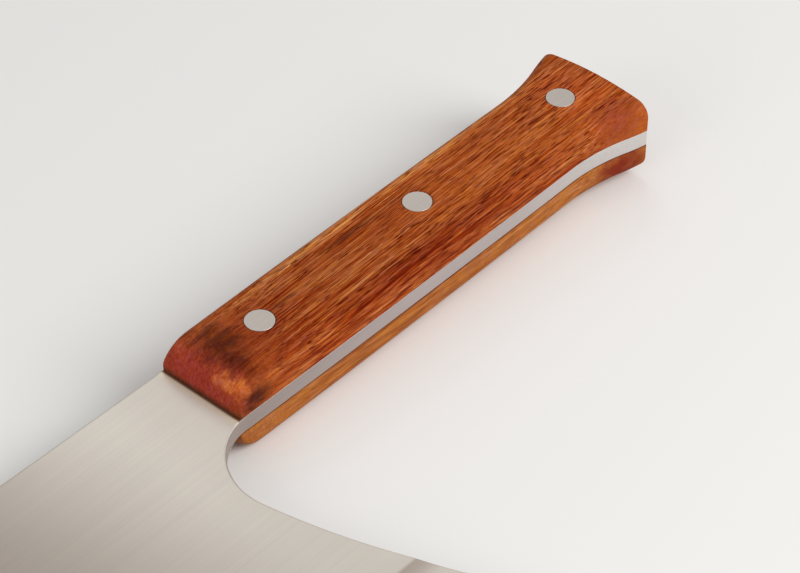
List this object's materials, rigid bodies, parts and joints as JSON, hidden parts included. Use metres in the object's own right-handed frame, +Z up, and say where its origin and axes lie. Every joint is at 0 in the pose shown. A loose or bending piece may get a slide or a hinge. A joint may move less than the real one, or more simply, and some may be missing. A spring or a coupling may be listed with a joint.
{
  "type": "bone cleaver",
  "caption": "Heavy kitchen cleaver with a tall plate blade, full tang, concave heel and riveted wooden handle scales that flare at the butt.",
  "frame": {"origin": "under the middle of the cleaver's box, level with the lowest point of the lower scale, the cleaver lying on its side", "axes": "+X along the handle towards the butt, +Y from the cutting edge towards the spine, +Z up through the thickness of the plate"},
  "size_m": [0.3138, 0.1086, 0.0209],
  "materials": {
    "blade_steel": "satin, fine brush lines along the spine",
    "scale_wood": "red-brown hardwood with dark pores along the handle, satin oil finish",
    "rivet_steel": "ground flush with the wood, satin"
  },
  "bodies": {
    "root": {"blade_with_tang": "blade_steel", "scale_upper": "scale_wood", "scale_lower": "scale_wood", "rivet_front_post": "rivet_steel", "rivet_front_sleeve": "rivet_steel", "rivet_middle_post": "rivet_steel", "rivet_middle_sleeve": "rivet_steel", "rivet_butt_post": "rivet_steel", "rivet_butt_sleeve": "rivet_steel"}
  },
  "joints": []
}
